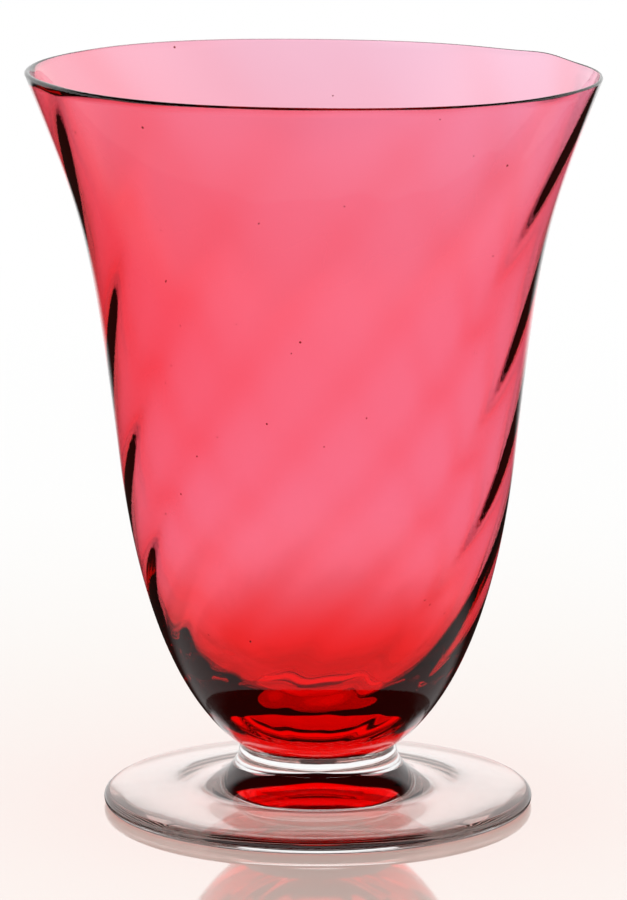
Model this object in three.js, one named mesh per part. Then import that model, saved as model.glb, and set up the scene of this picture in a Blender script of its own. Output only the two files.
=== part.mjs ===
// Footed dessert bowl in blown glass: a ruby bell-shaped bowl, a clear neck wafer and a clear disc foot.
// Millimetres, +Z up, origin on the table under the middle of the foot, photograph seen from -Y.
import * as THREE from "three";

// Outer form of the bowl
const bowlHeight = 150; // top of the lip above the table
const rimRadius = 57.8;
const waistRadius = 40.1;
const waistHeight = 72.4;
const seatRadius = 15.9; // ruby face that is stuck to the wafer
const seatHeight = 12.5;
const heelSlope = 55.5; // degrees that the wall leans out from upright
const waistSlope = 6.6;
const flareSlope = 21.5;
const heelReach = 12.7; // how far each curve keeps its end slope
const cupReach = 35.4;
const bellReach = 45.4;
const flareReach = 31.3;

// Inside of the bowl
const lipThickness = 0.9;
const waistWall = 1.2;
const bellSwell = 0.3; // extra wall halfway up the bell
const floorThickness = 6.5; // ruby left under the lowest point of the cavity
const hollowReach = 29;
const floorReach = 28.5;

// Optic ribs on the inner wall, and the hand-made wander of the bell
const ribCount = 12;
const ribDepth = 0.14; // half of crest to trough, on the average
const ribSide = 0.5; // share by which the ribs are deeper at the sides and shallower between them
const ribFront = 0.3; // share by which they are deeper at the front and shallower at the back
const ribTwist = 1.1; // degrees per millimetre at the twist height
const ribTwistHeight = 85;
const ribTwistEase = 0.0034; // degrees per millimetre, less for each millimetre higher
const ribStart = -1.7; // degrees from the front to a crest at the twist height
const ribFadeRadius = 16; // the ribs die away on the cavity floor inside this radius
const lipFade = 0.3; // share of the ribs that is lost at the lip
const cavityDrift = 0.42; // how far the cavity lies off the middle, in the upper part
const driftStart = 45; // height where it begins to lie off the middle
const driftFull = 100; // and where it lies all the way off
const driftTurn = 135; // degrees from the front to the side where that leaves the wall thin
const bowlSway = 0.9; // sideways lean of the lip, towards -X
const lipTilt = 0.62; // the lip is this much higher at -X and lower at +X
const swayEase = 2; // the lean and the tilt grow with this power of the height
const lipWave = 0.1;
const lipWaves = 5;
const waveEase = 6;
const lipBump = 0.55; // small rise of the lip, behind on the right
const bumpTurn = 124; // degrees from the front to the top of that rise
const bumpSpread = 8; // and degrees over which it dies away
const bumpEase = 12;

// Wafer between bowl and foot
const waferHeight = 3.6;
const waferTopLean = -8; // degrees that its wall leans out from upright
const waferFootLean = -40;
const waferReach = 1.2; // how far its wall keeps each end slope

// Foot
const neckRadius = 16.9; // top of the foot, under the wafer
const footRadius = 43.75;
const footEdge = 2.8; // thickness of the rounded edge
const edgeTurn = 80; // degrees round the edge where the upper face takes over
const filletRadius = 28; // where the neck's fillet meets the plate
const filletHeight = 3.6;
const filletRun = 2.6; // corner that the fillet bends round, out from the neck
const filletRise = 0.4; // and up from the plate
const restWidth = 2.4; // flat ring worn on the underside
const underHollow = 5.2; // rise of the underside from the ring to the middle
const plateRun = 15.95; // width over which the underside follows the plate
const plateRise = 1.1; // its rise over that width

const segments = 72;
const wallSteps = 12;
const lipSteps = 4;
const edgeSteps = 5;

const point = (radius, height) => new THREE.Vector2(radius, height);
const radians = THREE.MathUtils.degToRad;

// Direction up a wall that leans out by so many degrees
const lean = (degrees) => point(Math.sin(radians(degrees)), Math.cos(radians(degrees)));

// Smooth curve between two places, leaving and arriving along the given directions
function blend(start, leave, leaveReach, end, arrive, arriveReach, steps) {
  const first = start.clone().addScaledVector(leave, leaveReach);
  const second = end.clone().addScaledVector(arrive, -arriveReach);
  return new THREE.CubicBezierCurve(start, first, second, end).getPoints(steps);
}

// Round stretch about a centre, from one angle to another in degrees
function arc(centre, radius, from, to, steps) {
  const places = [];
  for (let step = 0; step <= steps; step += 1) {
    const angle = radians(from + ((to - from) * step) / steps);
    places.push(point(centre.x + radius * Math.cos(angle), centre.y + radius * Math.sin(angle)));
  }
  return places;
}

// Turns a section, which runs from the axis up the outside and back to the axis, about +Z
function turned(section) {
  return new THREE.LatheGeometry(section, segments).rotateX(Math.PI / 2);
}

function smooth(from, to, value) {
  return THREE.MathUtils.smoothstep(value, from, to);
}

// Outer wall of the bowl, from the seat to the lip's outer side
function outerWall(lipCentre) {
  const waist = point(waistRadius, waistHeight);
  const lip = lean(flareSlope - 90).multiplyScalar(-lipThickness / 2);
  const seat = point(seatRadius, seatHeight);
  const cup = blend(seat, lean(heelSlope), heelReach, waist, lean(waistSlope), cupReach, wallSteps);
  const top = lipCentre.clone().add(lip);
  const bell = blend(waist, lean(waistSlope), bellReach, top, lean(flareSlope), flareReach, wallSteps);
  return [...cup, ...bell.slice(1)];
}

// Inner wall of the bowl, from the lip's inner side down to the middle of the floor
function innerWall(lipCentre) {
  const waist = point(waistRadius - waistWall, waistHeight);
  const top = lipCentre.clone().add(lean(flareSlope - 90).multiplyScalar(lipThickness / 2));
  const bell = blend(waist, lean(waistSlope), bellReach, top, lean(flareSlope), flareReach, wallSteps);
  bell.forEach((place, step) => {
    place.x -= bellSwell * Math.sin((Math.PI * step) / wallSteps);
  });
  const floor = point(0, seatHeight + floorThickness);
  const cup = blend(floor, point(1, 0), floorReach, waist, lean(waistSlope), hollowReach, wallSteps);
  return [...bell.reverse(), ...cup.reverse().slice(1)];
}

// Angle of a rib's crest, in radians from the front
function ribCrest(height) {
  const rise = height - ribTwistHeight;
  return radians(ribStart + ribTwist * rise - ribTwistEase * rise * rise);
}

// How far the ribs move the inner wall at a place: towards the axis at a crest
function ribRipple(radius, height, angle) {
  const fromFloor = smooth(0, ribFadeRadius, radius);
  const toLip = 1 - lipFade * smooth(waistHeight, bowlHeight, height);
  const side = 1 - ribSide * Math.cos(2 * angle) + ribFront * Math.cos(angle);
  return ribDepth * fromFloor * toLip * side * Math.cos(ribCount * (angle - ribCrest(height)));
}

// The bell as it left the pipe: ribs inside, a wall thinner on one side, a slight lean and an uneven
// lip. Each place of the section has its share of the cavity, from 0 outside to 1 inside.
function shapeByHand(geometry, cavityShares) {
  const place = geometry.attributes.position;
  const thinSide = radians(driftTurn);
  for (let index = 0; index < place.count; index += 1) {
    const height = place.getZ(index);
    const angle = Math.atan2(place.getX(index), -place.getY(index));
    const share = cavityShares[index % cavityShares.length];
    const around = Math.hypot(place.getX(index), place.getY(index));
    const radius = around - share * ribRipple(around, height, angle);
    const drift = share * cavityDrift * smooth(driftStart, driftFull, height);
    const rise = Math.max(0, (height - seatHeight) / (bowlHeight - seatHeight));
    const tilt = -lipTilt * (radius / rimRadius) * Math.sin(angle) * rise ** swayEase;
    const wave = lipWave * Math.cos(lipWaves * angle) * rise ** waveEase;
    const offBump = (angle - radians(bumpTurn)) / radians(bumpSpread);
    const bump = lipBump * Math.exp(-offBump * offBump) * rise ** bumpEase;
    place.setXYZ(
      index,
      radius * Math.sin(angle) - bowlSway * rise ** swayEase + drift * Math.sin(thinSide),
      -radius * Math.cos(angle) - drift * Math.cos(thinSide),
      height + tilt + wave + bump,
    );
  }
  geometry.computeVertexNormals();
  return geometry;
}

function makeBowl() {
  const lipCentre = point(rimRadius - lipThickness / 2, bowlHeight - lipThickness / 2);
  const outside = [point(0, seatHeight), ...outerWall(lipCentre)];
  const round = arc(lipCentre, lipThickness / 2, -flareSlope, 180 - flareSlope, lipSteps);
  const lip = round.slice(1, -1);
  const inside = innerWall(lipCentre);
  const cavityShares = [
    ...outside.map(() => 0),
    ...lip.map((place, step) => (step + 1) / lipSteps),
    ...inside.map(() => 1),
  ];
  return shapeByHand(turned([...outside, ...lip, ...inside]), cavityShares);
}

function makeWafer() {
  const bottom = point(neckRadius, seatHeight - waferHeight);
  const top = point(seatRadius, seatHeight);
  const side = blend(bottom, lean(waferFootLean), waferReach, top, lean(waferTopLean), waferReach, edgeSteps);
  return turned([point(0, bottom.y), ...side, point(0, top.y)]);
}

// Underside of the foot, from the middle of its hollow to the flat ring that it stands on
function footUnderside() {
  const middle = point(0, underHollow);
  const ringInside = point(footRadius - footEdge / 2 - restWidth, 0);
  const corner = point(ringInside.x - plateRun, plateRise);
  return new THREE.QuadraticBezierCurve(middle, corner, ringInside).getPoints(wallSteps);
}

function makeFoot() {
  const neck = point(neckRadius, seatHeight - waferHeight);
  const fillet = point(filletRadius, filletHeight);
  const edgeCentre = point(footRadius - footEdge / 2, footEdge / 2);
  const edge = arc(edgeCentre, footEdge / 2, -90, edgeTurn, edgeSteps);
  const corner = point(neckRadius + filletRun, filletHeight + filletRise);
  const sweep = new THREE.QuadraticBezierCurve(fillet, corner, neck).getPoints(wallSteps);
  return turned([...footUnderside(), ...edge, ...sweep, point(0, neck.y)]);
}

const clearGlass = { color: 0xe9e6e2, roughness: 0.04, metalness: 0, transparent: true, opacity: 0.4 };
const rubyGlass = { color: 0xc81e38, roughness: 0.04, metalness: 0, transparent: true, opacity: 0.75 };

const footedBowl = new THREE.Group();

function addPiece(name, geometry, finish) {
  const piece = new THREE.Mesh(geometry, new THREE.MeshStandardMaterial(finish));
  piece.name = name;
  footedBowl.add(piece);
}

addPiece("foot", makeFoot(), clearGlass);
addPiece("neck_wafer", makeWafer(), clearGlass);
addPiece("bowl", makeBowl(), rubyGlass);

export default footedBowl;
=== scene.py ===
"""Footed dessert bowl in blown glass: a ruby bell, a clear neck wafer and a clear disc foot.

Metres and degrees, +Z up, origin on the table under the middle of the foot, photograph seen from -Y.
"""

import logging
import math
from dataclasses import dataclass
from enum import Enum

import bmesh
import bpy
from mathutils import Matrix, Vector
from mathutils.geometry import interpolate_bezier


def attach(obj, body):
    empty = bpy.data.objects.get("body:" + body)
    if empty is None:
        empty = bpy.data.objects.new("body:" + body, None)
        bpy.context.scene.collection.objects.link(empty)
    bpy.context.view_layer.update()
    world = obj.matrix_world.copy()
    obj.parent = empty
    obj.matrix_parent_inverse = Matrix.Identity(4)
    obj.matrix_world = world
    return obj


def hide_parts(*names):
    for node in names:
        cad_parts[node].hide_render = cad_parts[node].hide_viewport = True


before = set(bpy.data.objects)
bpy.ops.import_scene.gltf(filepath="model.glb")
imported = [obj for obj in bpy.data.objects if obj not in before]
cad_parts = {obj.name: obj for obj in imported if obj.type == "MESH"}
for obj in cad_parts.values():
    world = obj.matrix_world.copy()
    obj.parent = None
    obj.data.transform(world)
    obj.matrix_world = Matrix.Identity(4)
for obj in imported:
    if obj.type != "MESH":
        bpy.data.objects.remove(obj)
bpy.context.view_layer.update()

LOG = logging.getLogger("dessert_bowl")
BODY = "root"
SEAT_MASK = "fused_seat"
CAVITY_SHARE = "cavity_share"
AXIS = Vector((0.0, 0.0, 1.0))
CENTRE = Vector((0.0, 0.0, 0.0))
WELD = 1e-7  # points closer than this are one
SEAT_BAND = 1e-5  # a seat's faces lie this close to its height
LEVEL = 0.999  # a face lies level where its normal goes more than this straight up or down
PULL = 2.0 / 3.0  # places a cubic curve's handles for a curve with one corner
BETWEEN_COUNTS = 0.5  # from one whole count to the middle between two
MILLIMETRES = 1000.0  # in a metre

Colour = tuple[float, float, float]
Socket = bpy.types.NodeSocket

WHITE: Colour = (1.0, 1.0, 1.0)


class GlassSlot(Enum):
    """The record's two kinds of glass."""

    RUBY = "ruby_glass"
    CLEAR = "clear_glass"


def place(radius: float, height: float) -> Vector:
    """Returns a point of a section: its distance from the axis along X, and its height."""
    return Vector((radius, 0.0, height))


def lean(degrees: float) -> Vector:
    """Returns the direction up a wall that leans out by so many degrees."""
    turn = math.radians(degrees)
    return Vector((math.sin(turn), 0.0, math.cos(turn)))


def smooth(low: float, high: float, value: float) -> float:
    """Returns a smooth step from 0 at low to 1 at high."""
    share = min(max((value - low) / (high - low), 0.0), 1.0)
    return share * share * (3.0 - 2.0 * share)


def wall_between(
    start: Vector, leave: Vector, end: Vector, arrive: Vector, steps: int
) -> list[Vector]:
    """Draws the smooth stretch of a section between two points.

    Args:
        start: First point.
        leave: Direction at the first point, as long as the curve holds it.
        end: Last point.
        arrive: Direction at the last point, as long as the curve holds it.
        steps: Number of stretches.

    Returns:
        The points from start to end.
    """
    return list(interpolate_bezier(start, start + leave, end - arrive, end, steps + 1))


def hollow_between(start: Vector, corner: Vector, end: Vector, steps: int) -> list[Vector]:
    """Draws the curve that a corner pulls away from the straight line.

    Args:
        start: First point.
        corner: Where the two end directions meet.
        end: Last point.
        steps: Number of stretches.

    Returns:
        The points from start to end.
    """
    first = start.lerp(corner, PULL)
    second = end.lerp(corner, PULL)
    return list(interpolate_bezier(start, first, second, end, steps + 1))


def round_edge(
    middle: Vector, radius: float, first: float, last: float, steps: int
) -> list[Vector]:
    """Draws a round stretch of a section.

    Args:
        middle: Centre of the round.
        radius: Its radius.
        first: Angle of the first point, in degrees from straight outwards.
        last: Angle of the last point.
        steps: Number of stretches.

    Returns:
        The points from the first angle to the last.
    """
    points = []
    for step in range(steps + 1):
        turn = math.radians(first + (last - first) * step / steps)
        points.append(middle + radius * Vector((math.cos(turn), 0.0, math.sin(turn))))
    return points


def turned(
    section: list[Vector], segments: int, cavity: list[float] | None = None
) -> bmesh.types.BMesh:
    """Turns a section about the upright axis into a closed body.

    Args:
        section: Points from the axis, up the outside and back to the axis.
        segments: Number of steps round the axis.
        cavity: For each point, 0 on the outer wall to 1 on the inner wall, kept in a layer.

    Returns:
        A new bmesh with its faces pointing out.
    """
    body = bmesh.new()
    layer = body.verts.layers.float.new(CAVITY_SHARE)
    corners = [body.verts.new(point) for point in section]
    for corner, share in zip(corners, cavity or []):
        corner[layer] = share
    edges = [body.edges.new(pair) for pair in zip(corners, corners[1:])]
    bmesh.ops.spin(
        body,
        geom=[*corners, *edges],
        cent=CENTRE,
        axis=AXIS,
        angle=math.tau,
        steps=segments,
        use_merge=True,
    )
    bmesh.ops.remove_doubles(body, verts=body.verts[:], dist=WELD)
    bmesh.ops.recalc_face_normals(body, faces=body.faces[:])
    return body


def mark_seats(body: bmesh.types.BMesh, heights: tuple[float, ...]) -> None:
    """Marks the flat faces where a piece is fused to the next one, and creases their rims.

    Args:
        body: The piece.
        heights: Heights of its seats.
    """
    layer = body.faces.layers.float.new(SEAT_MASK)
    for piece_face in body.faces:
        piece_face.smooth = True
        middle = piece_face.calc_center_median().z
        level = abs(piece_face.normal.z) > LEVEL
        if level and any(abs(middle - height) < SEAT_BAND for height in heights):
            piece_face[layer] = 1.0
    for edge in body.edges:
        marks = {side[layer] for side in edge.link_faces}
        if len(marks) > 1:
            edge.smooth = False


def as_object(body: bmesh.types.BMesh, name: str, material: bpy.types.Material) -> bpy.types.Object:
    """Makes the finished object of a shape, dressed in its material.

    Args:
        body: The shape, which is freed.
        name: The object's name.
        material: Its material.

    Returns:
        The new object.
    """
    mesh = bpy.data.meshes.new(name)
    body.to_mesh(mesh)
    body.free()
    mesh.materials.append(material)
    made = bpy.data.objects.new(name, mesh)
    bpy.context.scene.collection.objects.link(made)
    LOG.info("%s: %d faces", name, len(mesh.polygons))
    return made


def tie(piece: bpy.types.Object, node: str) -> None:
    """Ties a piece to the frame.

    Args:
        piece: The piece.
        node: The node that it stands for.
    """
    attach(piece, BODY)
    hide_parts(node)


class NodeSheet:
    """A node tree that is filled in by short calls."""

    def __init__(self, tree: bpy.types.NodeTree) -> None:
        """Starts on an emptied tree."""
        self.tree = tree
        tree.nodes.clear()

    def add(self, kind: str, **settings: object) -> bpy.types.Node:
        """Adds a node.

        Args:
            kind: The node's type name.
            settings: Its properties.

        Returns:
            The new node.
        """
        node = self.tree.nodes.new(kind)
        for name, value in settings.items():
            setattr(node, name, value)
        return node

    def feed(self, socket: Socket, value: object) -> None:
        """Links a socket to another one, or writes a number or a colour on it.

        Args:
            socket: The input to fill.
            value: An output socket, a number or a colour.
        """
        if isinstance(value, Socket):
            self.tree.links.new(value, socket)
        elif isinstance(value, tuple) and len(value) == 3 and socket.type == "RGBA":
            socket.default_value = (*value, 1.0)
        else:
            socket.default_value = value

    def math(self, operation: str, *values: object) -> Socket:
        """Adds a Math node.

        Args:
            operation: What it works out.
            values: Its inputs, numbers or sockets.

        Returns:
            Its result.
        """
        node = self.add("ShaderNodeMath", operation=operation)
        for socket, value in zip(node.inputs, values):
            self.feed(socket, value)
        return node.outputs[0]

    def at_least(self, count: Socket, number: int) -> Socket:
        """Returns 1 where a count is the number or more, and else 0."""
        return self.math("GREATER_THAN", count, number - BETWEEN_COUNTS)

    def fewer(self, count: Socket, number: int) -> Socket:
        """Returns 1 where a count is less than the number, and else 0."""
        return self.math("LESS_THAN", count, number - BETWEEN_COUNTS)

    def step(self, value: object, low: float, high: float) -> Socket:
        """Adds a smooth step.

        Args:
            value: What it depends on.
            low: Where it is 0.
            high: Where it comes to 1.

        Returns:
            Its result.
        """
        node = self.add("ShaderNodeMapRange", interpolation_type="SMOOTHSTEP")
        self.feed(node.inputs["Value"], value)
        node.inputs["From Min"].default_value = low
        node.inputs["From Max"].default_value = high
        return node.outputs["Result"]

    def drop(self, value: object, low: float, high: float) -> Socket:
        """Returns a smooth step down, from 1 at low to 0 at high."""
        return self.math("SUBTRACT", 1.0, self.step(value, low, high))

    def blend(self, share: object, first: object, second: object) -> Socket:
        """Adds a mix of two colours.

        Args:
            share: The second colour's share.
            first: First colour.
            second: Second colour.

        Returns:
            Its result.
        """
        node = self.add("ShaderNodeMix", data_type="RGBA")
        self.feed(node.inputs[0], share)
        self.feed(node.inputs[6], first)
        self.feed(node.inputs[7], second)
        return node.outputs[2]

    def mix(self, share: Socket, first: bpy.types.Node, second: bpy.types.Node) -> bpy.types.Node:
        """Adds a mix of two shaders.

        Args:
            share: The second shader's share.
            first: First shader.
            second: Second shader.

        Returns:
            The mix.
        """
        node = self.add("ShaderNodeMixShader")
        for socket, value in zip(node.inputs, (share, first.outputs[0], second.outputs[0])):
            self.feed(socket, value)
        return node

    def noise(self, where: Socket, scale: object, detail: float) -> Socket:
        """Adds a noise.

        Args:
            where: The place that it is read at.
            scale: Its waves per metre.
            detail: How many finer layers it has.

        Returns:
            Its value.
        """
        node = self.add("ShaderNodeTexNoise")
        for name, value in (("Vector", where), ("Scale", scale), ("Detail", detail)):
            self.feed(node.inputs[name], value)
        return node.outputs["Fac"]


class GlassEffect(Enum):
    """Surface effects that the glasses share, each a node group."""

    RIPPLE = "fire polish ripple"
    SPECKS = "seed specks"
    HANDLING = "handling marks"


@dataclass
class EffectShelf:
    """The shared node groups, each built when it is first used."""

    broad_detail: float = 1.0
    fine_detail: float = 2.0
    fine_closer: float = 5.0  # how many fine waves there are to a broad one
    smear_clouds: float = 45.0  # per metre
    smear_detail: float = 3.0
    smear_start: float = 0.55  # values of the noise where a smear begins and is full
    smear_full: float = 0.75
    scuff_grains: float = 900.0  # per metre
    scuff_detail: float = 4.0
    scuff_start: float = 0.55
    scuff_full: float = 0.8

    def __post_init__(self) -> None:
        """Starts with no group built."""
        self.trees: dict[GlassEffect, bpy.types.NodeTree] = {}

    def tree(self, effect: GlassEffect) -> bpy.types.NodeTree:
        """Finds or builds the node group of an effect.

        Args:
            effect: The effect.

        Returns:
            Its node group.
        """
        if effect not in self.trees:
            makers = {
                GlassEffect.RIPPLE: self.make_ripple,
                GlassEffect.SPECKS: self.make_specks,
                GlassEffect.HANDLING: self.make_handling,
            }
            self.trees[effect] = makers[effect](effect.value)
        return self.trees[effect]

    @staticmethod
    def start(
        name: str, numbers: tuple[str, ...], result: str
    ) -> tuple[NodeSheet, bpy.types.Node, bpy.types.Node]:
        """Starts a group that takes a place and some numbers and gives one number.

        Args:
            name: The group's name.
            numbers: Names of its number inputs.
            result: Name of its output.

        Returns:
            The group's sheet, its input node and its output node.
        """
        tree = bpy.data.node_groups.new(name, "ShaderNodeTree")
        tree.interface.new_socket("Place", in_out="INPUT", socket_type="NodeSocketVector")
        for number in numbers:
            tree.interface.new_socket(number, in_out="INPUT", socket_type="NodeSocketFloat")
        tree.interface.new_socket(result, in_out="OUTPUT", socket_type="NodeSocketFloat")
        sheet = NodeSheet(tree)
        return sheet, sheet.add("NodeGroupInput"), sheet.add("NodeGroupOutput")

    def make_ripple(self, name: str) -> bpy.types.NodeTree:
        """Builds soft waves with finer ones on them, as fire leaves on glass.

        Args:
            name: The group's name.

        Returns:
            The group, whose result is a height.
        """
        sheet, given, gives = self.start(name, ("Waves per Metre", "Fine Share"), "Height")
        where = given.outputs["Place"]
        waves = given.outputs["Waves per Metre"]
        broad = sheet.noise(where, waves, self.broad_detail)
        closer = sheet.math("MULTIPLY", waves, self.fine_closer)
        fine = sheet.noise(where, closer, self.fine_detail)
        detail = sheet.math("MULTIPLY", fine, given.outputs["Fine Share"])
        sheet.feed(gives.inputs["Height"], sheet.math("ADD", broad, detail))
        return sheet.tree

    def make_specks(self, name: str) -> bpy.types.NodeTree:
        """Builds scattered specks, where few of the cells of a pattern hold one.

        Args:
            name: The group's name.

        Returns:
            The group, whose result is 1 on a speck and 0 beside it.
        """
        sheet, given, gives = self.start(name, ("Cells per Metre", "Empty Share", "Size"), "Mask")
        cells = sheet.add("ShaderNodeTexVoronoi")
        sheet.feed(cells.inputs["Vector"], given.outputs["Place"])
        sheet.feed(cells.inputs["Scale"], given.outputs["Cells per Metre"])
        pick = sheet.add("ShaderNodeSeparateColor")
        sheet.feed(pick.inputs[0], cells.outputs["Color"])
        full = sheet.math("GREATER_THAN", pick.outputs[0], given.outputs["Empty Share"])
        size = sheet.math("MULTIPLY", pick.outputs[1], given.outputs["Size"])
        inside = sheet.math("LESS_THAN", cells.outputs["Distance"], size)
        sheet.feed(gives.inputs["Mask"], sheet.math("MULTIPLY", inside, full))
        return sheet.tree

    def make_handling(self, name: str) -> bpy.types.NodeTree:
        """Builds the faint haze of smears, and the scuffs where the foot touches a table.

        Args:
            name: The group's name.

        Returns:
            The group, whose result is a roughness.
        """
        sheet, given, gives = self.start(name, ("Smears", "Scuffs", "Scuff Height"), "Roughness")
        where = given.outputs["Place"]
        clouds = sheet.noise(where, self.smear_clouds, self.smear_detail)
        smeared = sheet.step(clouds, self.smear_start, self.smear_full)
        smear = sheet.math("MULTIPLY", smeared, given.outputs["Smears"])
        grains = sheet.noise(where, self.scuff_grains, self.scuff_detail)
        split = sheet.add("ShaderNodeSeparateXYZ")
        sheet.feed(split.inputs[0], where)
        low = sheet.math("LESS_THAN", split.outputs["Z"], given.outputs["Scuff Height"])
        worn = sheet.math("MULTIPLY", low, sheet.step(grains, self.scuff_start, self.scuff_full))
        scuff = sheet.math("MULTIPLY", worn, given.outputs["Scuffs"])
        sheet.feed(gives.inputs["Roughness"], sheet.math("ADD", smear, scuff))
        return sheet.tree


@dataclass(frozen=True)
class GlassFinish:
    """Fire-polished glass: its body colour, its ripples, its specks and the marks of handling."""

    name: str
    surface_colour: Colour = WHITE
    absorbed: Colour = (0.0, 0.0, 0.0)  # share of light taken per metre, red, green and blue
    index: float = 1.5
    ripple_height: float = 0.000012
    waves_per_metre: float = 90.0
    fine_share: float = 0.02
    flattened: float = 1.0  # how much finer the ripples are upwards than sideways
    speck_cells: float = 300.0  # per metre
    speck_empty: float = 0.93  # share of the cells without a speck
    speck_size: float = 0.1  # largest radius, as a share of a cell
    speck_colour: Colour = (0.1, 0.01, 0.01)
    smears: float = 0.01  # roughness of a full smear
    scuffs: float = 0.0  # roughness of a full scuff
    scuff_height: float = 0.0003  # scuffs lie lower than this

    def effect(
        self, sheet: NodeSheet, shelf: EffectShelf, effect: GlassEffect, *values: object
    ) -> Socket:
        """Adds a shared effect to the material.

        Args:
            sheet: The material's nodes.
            shelf: The shared effects.
            effect: Which one.
            values: Its inputs, in their order.

        Returns:
            The effect's result.
        """
        node = sheet.add("ShaderNodeGroup", node_tree=shelf.tree(effect))
        for socket, value in zip(node.inputs, values):
            sheet.feed(socket, value)
        return node.outputs[0]

    def material(self, shelf: EffectShelf) -> bpy.types.Material:
        """Builds the node material of this glass.

        Args:
            shelf: The shared effects.

        Returns:
            The new material.
        """
        made = bpy.data.materials.new(self.name)
        made.use_nodes = True
        sheet = NodeSheet(made.node_tree)
        out = sheet.add("ShaderNodeOutputMaterial")
        glass = sheet.add("ShaderNodeBsdfPrincipled")
        glass.inputs["Transmission Weight"].default_value = 1.0
        glass.inputs["IOR"].default_value = self.index
        sheet.feed(out.inputs["Surface"], glass.outputs["BSDF"])
        where = sheet.add("ShaderNodeTexCoord").outputs["Object"]
        specks = self.effect(
            sheet, shelf, GlassEffect.SPECKS, where, self.speck_cells, self.speck_empty, self.speck_size
        )
        colour = sheet.blend(specks, self.surface_colour, self.speck_colour)
        sheet.feed(glass.inputs["Base Color"], colour)
        marks = self.effect(
            sheet, shelf, GlassEffect.HANDLING, where, self.smears, self.scuffs, self.scuff_height
        )
        sheet.feed(glass.inputs["Roughness"], marks)
        squeeze = sheet.add("ShaderNodeMapping")
        squeeze.inputs["Scale"].default_value = (1.0, 1.0, self.flattened)
        sheet.feed(squeeze.inputs["Vector"], where)
        waves = self.effect(
            sheet, shelf, GlassEffect.RIPPLE, squeeze.outputs[0], self.waves_per_metre, self.fine_share
        )
        bump = sheet.add("ShaderNodeBump")
        bump.inputs["Distance"].default_value = self.ripple_height
        sheet.feed(bump.inputs["Height"], waves)
        sheet.feed(glass.inputs["Normal"], bump.outputs["Normal"])
        self.join_seats(sheet, glass)
        self.fill(sheet, out)
        return made

    def join_seats(self, sheet: NodeSheet, glass: bpy.types.Node) -> None:
        """Lets light pass unbent where one glass is fused to the next.

        Args:
            sheet: The material's nodes.
            glass: Its shader.
        """
        seat = sheet.add("ShaderNodeAttribute", attribute_name=SEAT_MASK)
        bend = sheet.add("ShaderNodeMapRange")
        bend.inputs["To Min"].default_value = self.index
        bend.inputs["To Max"].default_value = 1.0
        sheet.feed(bend.inputs["Value"], seat.outputs["Fac"])
        sheet.feed(glass.inputs["IOR"], bend.outputs["Result"])

    def fill(self, sheet: NodeSheet, out: bpy.types.Node) -> None:
        """Colours the glass through its depth, unless it is clear.

        Args:
            sheet: The material's nodes.
            out: Its output.
        """
        most = max(self.absorbed)
        if most == 0.0:
            return
        depth = sheet.add("ShaderNodeVolumeAbsorption")
        tint = tuple(1.0 - share / most for share in self.absorbed)
        depth.inputs["Color"].default_value = (*tint, 1.0)
        depth.inputs["Density"].default_value = most
        sheet.feed(out.inputs["Volume"], depth.outputs["Volume"])


RUBY_GLASS = GlassFinish(
    "ruby glass", surface_colour=(1.0, 0.78, 1.0), absorbed=(3.0, 540.0, 560.0)
)
WAFER_GLASS = GlassFinish(
    "clear wafer glass",
    ripple_height=0.00002,
    waves_per_metre=60.0,
    fine_share=0.12,
    flattened=12.0,
    speck_empty=0.95,
    speck_colour=(0.6, 0.58, 0.55),
)
FOOT_GLASS = GlassFinish(
    "clear foot glass",
    ripple_height=0.00002,
    flattened=3.0,
    speck_empty=0.97,
    speck_colour=(0.6, 0.58, 0.55),
    smears=0.004,
    scuffs=0.1,
)


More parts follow.
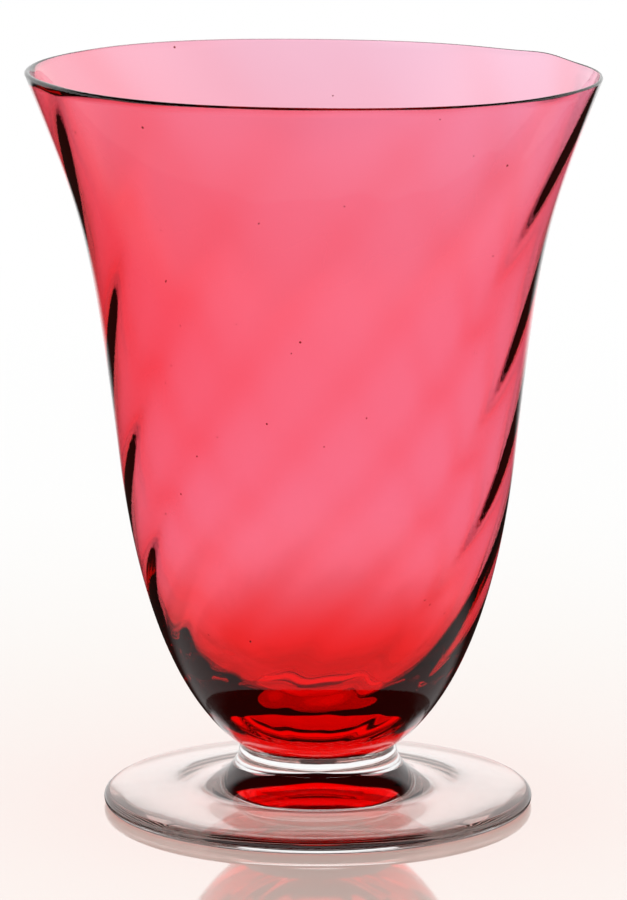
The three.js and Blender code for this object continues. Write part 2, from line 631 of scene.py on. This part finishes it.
@dataclass
class RubyBowl:
    """The blown bell: fire-polished lip, thick heel and twelve spiral ribs on its inner wall.

    A slope is in degrees that the wall leans out from upright, and a reach is how far a curve
    keeps its end slope. A turn is in degrees from the front, towards +X.
    """

    height: float = 0.150
    rim_radius: float = 0.0578
    waist_radius: float = 0.0401
    waist_height: float = 0.0724
    seat_radius: float = 0.0159  # of the flat face that is stuck to the wafer
    seat_height: float = 0.0125
    heel_slope: float = 55.5
    waist_slope: float = 6.6
    flare_slope: float = 21.5
    heel_reach: float = 0.0127  # of the outer wall at the seat
    cup_reach: float = 0.0354  # of the outer wall below the waist
    bell_reach: float = 0.0454  # of both walls above the waist
    flare_reach: float = 0.0313  # of both walls at the lip
    lip_thickness: float = 0.0009
    waist_wall: float = 0.0012
    bell_swell: float = 0.0003  # extra wall halfway up the bell
    floor_thickness: float = 0.0065  # ruby left under the lowest point of the cavity
    hollow_reach: float = 0.029  # of the inner wall below the waist
    floor_reach: float = 0.0285  # of the cavity's floor at its middle
    rib_count: int = 12
    rib_depth: float = 0.00014  # half of crest to trough, on the average
    rib_sharpness: float = 0.25  # makes the crests narrower than the troughs
    rib_side: float = 0.5  # share by which the ribs are deeper at both sides
    rib_front: float = 0.3  # share by which they are deeper in front and shallower behind
    rib_twist: float = 1.1  # degrees per millimetre at the twist height
    rib_twist_height: float = 0.085
    rib_twist_ease: float = 0.0034  # half of what the twist loses with each millimetre of height
    rib_start: float = -1.7  # turn to a crest at the twist height
    rib_fade_radius: float = 0.016  # inside this radius the ribs die away on the floor
    lip_fade: float = 0.3  # share of the ribs that is lost at the lip
    drift: float = 0.00042  # how far the cavity lies off the middle, in the upper part
    drift_start: float = 0.045  # height where it begins to lie off the middle
    drift_full: float = 0.100  # and where it lies all the way off
    drift_turn: float = 135.0  # turn to the side where that leaves the wall thin
    sway: float = 0.0009  # sideways lean of the lip, towards -X
    lip_tilt: float = 0.00062  # the lip is this much higher at -X and lower at +X
    sway_ease: int = 2  # the lean and the tilt grow with this power of the height
    lip_wave: float = 0.0001  # height of the slight waves round the lip
    lip_waves: int = 5
    wave_ease: int = 6  # the waves grow with this power
    lip_bump: float = 0.00055  # small rise of the lip, behind on the right
    bump_turn: float = 124.0
    bump_spread: float = 8.0  # degrees
    bump_ease: int = 12  # the rise grows with this power
    wall_steps: int = 56
    lip_steps: int = 10
    segments: int = 216
    finish: GlassFinish = RUBY_GLASS

    def rib_crest(self, height: float) -> float:
        """Finds the angle of a rib's crest.

        Args:
            height: Where along the wall.

        Returns:
            The angle in radians from the front.
        """
        rise = (height - self.rib_twist_height) * MILLIMETRES
        degrees = self.rib_start + self.rib_twist * rise - self.rib_twist_ease * rise * rise
        return math.radians(degrees)

    def ripple(self, radius: float, height: float, angle: float) -> float:
        """Finds how far the ribs move the inner wall towards the axis.

        Args:
            radius: Distance from the axis.
            height: Height above the table.
            angle: Radians from the front.

        Returns:
            The distance, below zero between two ribs.
        """
        from_floor = smooth(0.0, self.rib_fade_radius, radius)
        to_lip = 1.0 - self.lip_fade * smooth(self.waist_height, self.height, height)
        turn = self.rib_count * (angle - self.rib_crest(height))
        wave = math.cos(turn) + self.rib_sharpness * math.cos(2.0 * turn)
        side = 1.0 - self.rib_side * math.cos(2.0 * angle) + self.rib_front * math.cos(angle)
        return self.rib_depth * from_floor * to_lip * side * wave

    def lip_centre(self) -> Vector:
        """Returns the middle of the lip's round."""
        half = self.lip_thickness / 2.0
        return place(self.rim_radius - half, self.height - half)

    def lip_inwards(self) -> Vector:
        """Returns the way from the lip's middle to its inner side."""
        return lean(self.flare_slope - 90.0) * (self.lip_thickness / 2.0)

    def bell(self, waist: Vector, top: Vector) -> list[Vector]:
        """Draws a wall of the bell.

        Args:
            waist: Its lowest point.
            top: Its end at the lip.

        Returns:
            The points from the waist to the lip.
        """
        leave = lean(self.waist_slope) * self.bell_reach
        arrive = lean(self.flare_slope) * self.flare_reach
        return wall_between(waist, leave, top, arrive, self.wall_steps)

    def outside(self) -> list[Vector]:
        """Draws the outer wall.

        Returns:
            The points from the seat to the lip.
        """
        seat = place(self.seat_radius, self.seat_height)
        waist = place(self.waist_radius, self.waist_height)
        leave = lean(self.heel_slope) * self.heel_reach
        arrive = lean(self.waist_slope) * self.cup_reach
        cup = wall_between(seat, leave, waist, arrive, self.wall_steps)
        return [*cup, *self.bell(waist, self.lip_centre() - self.lip_inwards())[1:]]

    def inside(self) -> list[Vector]:
        """Draws the inner wall.

        Returns:
            The points from the lip down to the middle of the cavity's floor.
        """
        waist = place(self.waist_radius - self.waist_wall, self.waist_height)
        bell = self.bell(waist, self.lip_centre() + self.lip_inwards())
        for step, point in enumerate(bell):
            point.x -= self.bell_swell * math.sin(math.pi * step / self.wall_steps)
        floor = place(0.0, self.seat_height + self.floor_thickness)
        leave = place(self.floor_reach, 0.0)
        arrive = lean(self.waist_slope) * self.hollow_reach
        cup = wall_between(floor, leave, waist, arrive, self.wall_steps)
        return [*reversed(bell), *list(reversed(cup))[1:]]

    def lip_rise(self, radius: float, angle: float, rise: float) -> float:
        """Finds how much higher the uneven lip lies than an even one.

        Args:
            radius: Distance from the axis.
            angle: Radians from the front.
            rise: Share of the bell's height.

        Returns:
            The extra height.
        """
        across = radius / self.rim_radius * math.sin(angle)
        tilt = -self.lip_tilt * across * rise**self.sway_ease
        wave = self.lip_wave * math.cos(self.lip_waves * angle) * rise**self.wave_ease
        off_bump = (math.degrees(angle) - self.bump_turn) / self.bump_spread
        bump = self.lip_bump * math.exp(-off_bump * off_bump) * rise**self.bump_ease
        return tilt + wave + bump

    def shape_by_hand(self, body: bmesh.types.BMesh) -> None:
        """Gives the turned bell its ribs, its uneven wall, its slight lean and its uneven lip.

        Args:
            body: The turned bell, with its layer of cavity shares.
        """
        layer = body.verts.layers.float[CAVITY_SHARE]
        thin_side = math.radians(self.drift_turn)
        for vert in body.verts:
            height = vert.co.z
            angle = math.atan2(vert.co.x, -vert.co.y)
            share = vert[layer]
            radius = math.hypot(vert.co.x, vert.co.y)
            radius -= share * self.ripple(radius, height, angle)
            drift = share * self.drift * smooth(self.drift_start, self.drift_full, height)
            rise = max(0.0, (height - self.seat_height) / (self.height - self.seat_height))
            sway = self.sway * rise**self.sway_ease
            vert.co.x = radius * math.sin(angle) - sway + drift * math.sin(thin_side)
            vert.co.y = -radius * math.cos(angle) - drift * math.cos(thin_side)
            vert.co.z = height + self.lip_rise(radius, angle, rise)
        body.verts.layers.float.remove(layer)

    def build(self, shelf: EffectShelf) -> None:
        """Builds the bell and dresses it in ruby glass.

        Args:
            shelf: The shared surface effects.
        """
        outside = [place(0.0, self.seat_height), *self.outside()]
        half = self.lip_thickness / 2.0
        first = -self.flare_slope
        lip = round_edge(self.lip_centre(), half, first, first + 180.0, self.lip_steps)[1:-1]
        inside = self.inside()
        over = [(step + 1) / self.lip_steps for step in range(len(lip))]
        cavity = [0.0] * len(outside) + over + [1.0] * len(inside)
        body = turned([*outside, *lip, *inside], self.segments, cavity)
        mark_seats(body, (self.seat_height,))
        self.shape_by_hand(body)
        tie(as_object(body, "ruby_bell", self.finish.material(shelf)), "bowl")


@dataclass
class NeckWafer:
    """The short disc of clear glass between the bell and the foot."""

    bowl: RubyBowl
    bottom_radius: float = 0.0169
    height: float = 0.0036
    top_lean: float = -8.0  # degrees that the wall leans out from upright
    bottom_lean: float = -40.0
    reach: float = 0.0012  # how far the wall keeps each end slope
    joint: float = 0.00001  # gap to the piece above and to the piece below
    steps: int = 24
    segments: int = 144
    finish: GlassFinish = WAFER_GLASS

    def foot_top(self) -> float:
        """Returns the height that the foot comes up to."""
        return self.bowl.seat_height - self.height

    def build(self, shelf: EffectShelf) -> None:
        """Builds the wafer and dresses it in clear glass.

        Args:
            shelf: The shared surface effects.
        """
        low = self.foot_top() + self.joint
        high = self.bowl.seat_height - self.joint
        side = wall_between(
            place(self.bottom_radius, low),
            lean(self.bottom_lean) * self.reach,
            place(self.bowl.seat_radius, high),
            lean(self.top_lean) * self.reach,
            self.steps,
        )
        body = turned([place(0.0, low), *side, place(0.0, high)], self.segments)
        mark_seats(body, (low, high))
        piece = as_object(body, "clear_neck_wafer", self.finish.material(shelf))
        tie(piece, "neck_wafer")


@dataclass
class DiscFoot:
    """The clear foot: a disc drawn up in a hollow fillet, with a rounded edge and a hollow underside."""

    wafer: NeckWafer
    radius: float = 0.04375
    thickness: float = 0.0028  # of the rounded edge
    edge_turn: float = 80.0  # degrees round the edge where the upper face takes over
    fillet_radius: float = 0.028  # where the neck's fillet meets the plate
    fillet_height: float = 0.0036
    fillet_run: float = 0.0026  # corner that the fillet bends round, out from the neck
    fillet_rise: float = 0.0004  # and up from the plate
    rest_width: float = 0.0024  # flat ring that the foot stands on
    under_hollow: float = 0.0052  # rise of the underside from the ring to the middle
    plate_run: float = 0.01595  # corner that the underside bends round, in from the ring
    plate_rise: float = 0.0011  # and up from the table
    steps: int = 40
    edge_steps: int = 20
    segments: int = 180
    finish: GlassFinish = FOOT_GLASS

    def underside(self) -> list[Vector]:
        """Draws the hollow that leaves the ring.

        Returns:
            The points from the middle to the ring.
        """
        ring = place(self.radius - self.thickness / 2.0 - self.rest_width, 0.0)
        corner = place(ring.x - self.plate_run, self.plate_rise)
        return hollow_between(place(0.0, self.under_hollow), corner, ring, self.steps)

    def build(self, shelf: EffectShelf) -> None:
        """Builds the foot and dresses it in clear glass.

        Args:
            shelf: The shared surface effects.
        """
        half = self.thickness / 2.0
        edge = round_edge(
            place(self.radius - half, half), half, -90.0, self.edge_turn, self.edge_steps
        )
        neck = place(self.wafer.bottom_radius, self.wafer.foot_top())
        corner = place(neck.x + self.fillet_run, self.fillet_height + self.fillet_rise)
        fillet = place(self.fillet_radius, self.fillet_height)
        sweep = hollow_between(fillet, corner, neck, self.steps)
        section = [*self.underside(), *edge, *sweep, place(0.0, neck.z)]
        body = turned(section, self.segments)
        mark_seats(body, (neck.z,))
        tie(as_object(body, "clear_foot", self.finish.material(shelf)), "foot")


def mirrored_light(sheet: NodeSheet, path: bpy.types.Node) -> Socket:
    """Adds a mask for light that polished surfaces mirrored, with nothing dull on its way.

    Args:
        sheet: The nodes to add it to.
        path: Their Light Path node.

    Returns:
        1 for such light and 0 for all other.
    """
    polished = sheet.at_least(path.outputs["Glossy Depth"], 1)
    return sheet.math("MULTIPLY", polished, sheet.fewer(path.outputs["Diffuse Depth"], 1))


@dataclass(frozen=True)
class SoftLight:
    """White light all round, in which polished glass shows its dark lines.

    Light that comes straight, or only through the glass, is white from everywhere. Light that a
    surface mirrors, or that turns back inside the glass, is dark from steep above and below. A
    height here is the upright share of a direction, from -1 straight down to 1 straight up.
    """

    dark: Colour = (0.018, 0.012, 0.010)
    high_start: float = 0.45  # where the dark overhead begins
    high_full: float = 0.6
    mirrored_floor: float = -0.19  # where the dark below begins, for light mirrored outside
    mirrored_fade: float = 0.04  # and how much lower it is full
    turned_floor: float = -0.5  # the same for light turned back inside
    turned_fade: float = 0.12
    table_start: float = -0.38  # where the table's own glow begins
    table_full: float = -0.5
    table_glow: float = 0.35  # share of the dark that it takes back
    turns_to_dark: int = 3  # light that turned this often is dark from everywhere

    def kinds(self, sheet: NodeSheet) -> tuple[Socket, Socket, Socket]:
        """Adds masks for light that has met the glass.

        Args:
            sheet: The world's nodes.

        Returns:
            Light mirrored off the outside, light turned back inside, and light turned back often.
        """
        path = sheet.add("ShaderNodeLightPath")
        either = mirrored_light(sheet, path)
        inside = sheet.at_least(path.outputs["Transmission Depth"], 1)
        turned_back = sheet.math("MULTIPLY", either, inside)
        outside = sheet.math("SUBTRACT", either, turned_back)
        often = sheet.at_least(path.outputs["Glossy Depth"], self.turns_to_dark)
        return outside, turned_back, sheet.math("MULTIPLY", turned_back, often)

    def surround(self) -> bpy.types.World:
        """Builds the world that gives the light.

        Returns:
            The new world.
        """
        world = bpy.data.worlds.new("soft studio")
        world.use_nodes = True
        sheet = NodeSheet(world.node_tree)
        out = sheet.add("ShaderNodeOutputWorld")
        sky = sheet.add("ShaderNodeBackground")
        sheet.feed(out.inputs["Surface"], sky.outputs[0])
        split = sheet.add("ShaderNodeSeparateXYZ")
        sheet.feed(split.inputs[0], sheet.add("ShaderNodeTexCoord").outputs["Generated"])
        height = split.outputs["Z"]
        high = sheet.step(height, self.high_start, self.high_full)
        low = sheet.drop(height, self.mirrored_floor - self.mirrored_fade, self.mirrored_floor)
        lower = sheet.drop(height, self.turned_floor - self.turned_fade, self.turned_floor)
        table = sheet.drop(height, self.table_full, self.table_start)
        low = sheet.math("SUBTRACT", low, sheet.math("MULTIPLY", table, self.table_glow))
        outside, turned_back, often = self.kinds(sheet)
        share = sheet.math(
            "ADD",
            sheet.math("MULTIPLY", outside, sheet.math("MAXIMUM", high, low)),
            sheet.math("MULTIPLY", turned_back, sheet.math("MAXIMUM", high, lower)),
        )
        colour = sheet.blend(sheet.math("MAXIMUM", share, often), WHITE, self.dark)
        sheet.feed(sky.inputs["Color"], colour)
        return world


@dataclass(frozen=True)
class TableFinish:
    """Pale lacquer that mirrors the bowl near by and fades into white far off, with a painted
    ruby-tinted shade round the middle.

    Each pair of distances runs from where a change begins to where it is full.
    """

    # painted shade: a warmer, darker colour near the middle stands in for the ruby-tinted shade under
    # the bowl
    ruby_shade_colour: Colour = (0.97, 0.89, 0.80)
    far: Colour = (0.97, 0.97, 0.95)
    ruby_shade_fade: tuple[float, float] = (0.03, 0.35)  # from the painted ruby-tinted shade in the middle to the plain far colour
    whiter: tuple[float, float] = (0.1, 0.7)  # from lacquer to plain white light
    unseen: tuple[float, float] = (0.09, 0.12)  # past it, glass mirrors the surround instead
    roughness: float = 0.05
    index: float = 2.2
    lacquer_roughness: float = 0.03
    lacquer_index: float = 1.8
    surfaces_to_deep: int = 3  # light that came through this many surfaces sees the near table
    mirrors_to_deep: int = 2  # and so does light that was mirrored this often

    def lacquer(self, sheet: NodeSheet, distance: Socket) -> bpy.types.Node:
        """Adds the shader of the table top.

        Args:
            sheet: The material's nodes.
            distance: From the middle of the table.

        Returns:
            The shader.
        """
        shader = sheet.add("ShaderNodeBsdfPrincipled")
        shader.inputs["Roughness"].default_value = self.roughness
        shader.inputs["IOR"].default_value = self.index
        shader.inputs["Coat Weight"].default_value = 1.0
        shader.inputs["Coat Roughness"].default_value = self.lacquer_roughness
        shader.inputs["Coat IOR"].default_value = self.lacquer_index
        # painted ruby-tinted shade near the middle, fading out to the plain table colour
        colour = sheet.blend(sheet.step(distance, *self.ruby_shade_fade), self.ruby_shade_colour, self.far)
        sheet.feed(shader.inputs["Base Color"], colour)
        return shader

    def material(self) -> bpy.types.Material:
        """Builds the node material of the table top.

        Returns:
            The new material.
        """
        made = bpy.data.materials.new("pale glossy table")
        made.use_nodes = True
        sheet = NodeSheet(made.node_tree)
        out = sheet.add("ShaderNodeOutputMaterial")
        length = sheet.add("ShaderNodeVectorMath", operation="LENGTH")
        sheet.feed(length.inputs[0], sheet.add("ShaderNodeTexCoord").outputs["Object"])
        distance = length.outputs["Value"]
        away = sheet.step(distance, *self.whiter)
        seen = sheet.mix(away, self.lacquer(sheet, distance), sheet.add("ShaderNodeEmission"))
        path = sheet.add("ShaderNodeLightPath")
        outer = sheet.fewer(path.outputs["Transmission Depth"], self.surfaces_to_deep)
        once = sheet.fewer(path.outputs["Glossy Depth"], self.mirrors_to_deep)
        shallow = sheet.math("MULTIPLY", outer, once)
        beyond = sheet.step(distance, *self.unseen)
        passed = sheet.math("MAXIMUM", beyond, shallow)
        share = sheet.math("MULTIPLY", mirrored_light(sheet, path), passed)
        final = sheet.mix(share, seen, sheet.add("ShaderNodeBsdfTransparent"))
        sheet.feed(out.inputs["Surface"], final.outputs[0])
        return made


@dataclass
class Studio:
    """The pale table, the soft light round it and the camera."""

    light: SoftLight = SoftLight()
    table_finish: TableFinish = TableFinish()
    table_radius: float = 6.0
    table_sides: int = 96
    table_gap: float = 0.00005  # to the foot
    eye: tuple[float, float, float] = (-0.0009, -1.0768, 0.2816)
    look_down: float = 10.963
    focal_length: float = 216.6  # millimetres, as the film's width
    film: float = 36.0
    turns: int = 64  # that light may take in the glass
    passes: int = 16  # that mirrored light may take through the table

    def add_table(self) -> None:
        """Lays the pale, glossy table top."""
        body = bmesh.new()
        bmesh.ops.create_circle(
            body, cap_ends=True, segments=self.table_sides, radius=self.table_radius
        )
        bmesh.ops.translate(body, verts=body.verts[:], vec=(0.0, 0.0, -self.table_gap))
        as_object(body, "table_top", self.table_finish.material())

    def add_camera(self) -> None:
        """Stands the camera where the photograph was taken from."""
        data = bpy.data.cameras.new("camera")
        data.sensor_width = self.film
        data.lens = self.focal_length
        camera = bpy.data.objects.new("camera", data)
        camera.location = self.eye
        camera.rotation_euler = (math.radians(90.0 - self.look_down), 0.0, 0.0)
        bpy.context.scene.collection.objects.link(camera)
        bpy.context.scene.camera = camera

    def set_view(self) -> None:
        """Sets the view transform and how many times light may turn in the glass."""
        scene = bpy.context.scene
        scene.view_settings.view_transform = "Standard"
        scene.cycles.max_bounces = self.turns
        scene.cycles.transmission_bounces = self.turns
        scene.cycles.glossy_bounces = self.turns
        scene.cycles.transparent_max_bounces = self.passes
        scene.cycles.blur_glossy = 0.0
        scene.cycles.use_denoising = True

    def build(self) -> None:
        """Builds the table, the light and the camera."""
        self.add_camera()
        self.add_table()
        bpy.context.scene.world = self.light.surround()
        self.set_view()


def main() -> None:
    """Builds the studio and the three pieces of the bowl."""
    logging.basicConfig(level=logging.INFO, format="%(name)s: %(message)s")
    Studio().build()
    shelf = EffectShelf()
    bowl = RubyBowl()
    wafer = NeckWafer(bowl)
    foot = DiscFoot(wafer)
    for piece in (bowl, wafer, foot):
        piece.build(shelf)


if __name__ == "__main__":
    main()
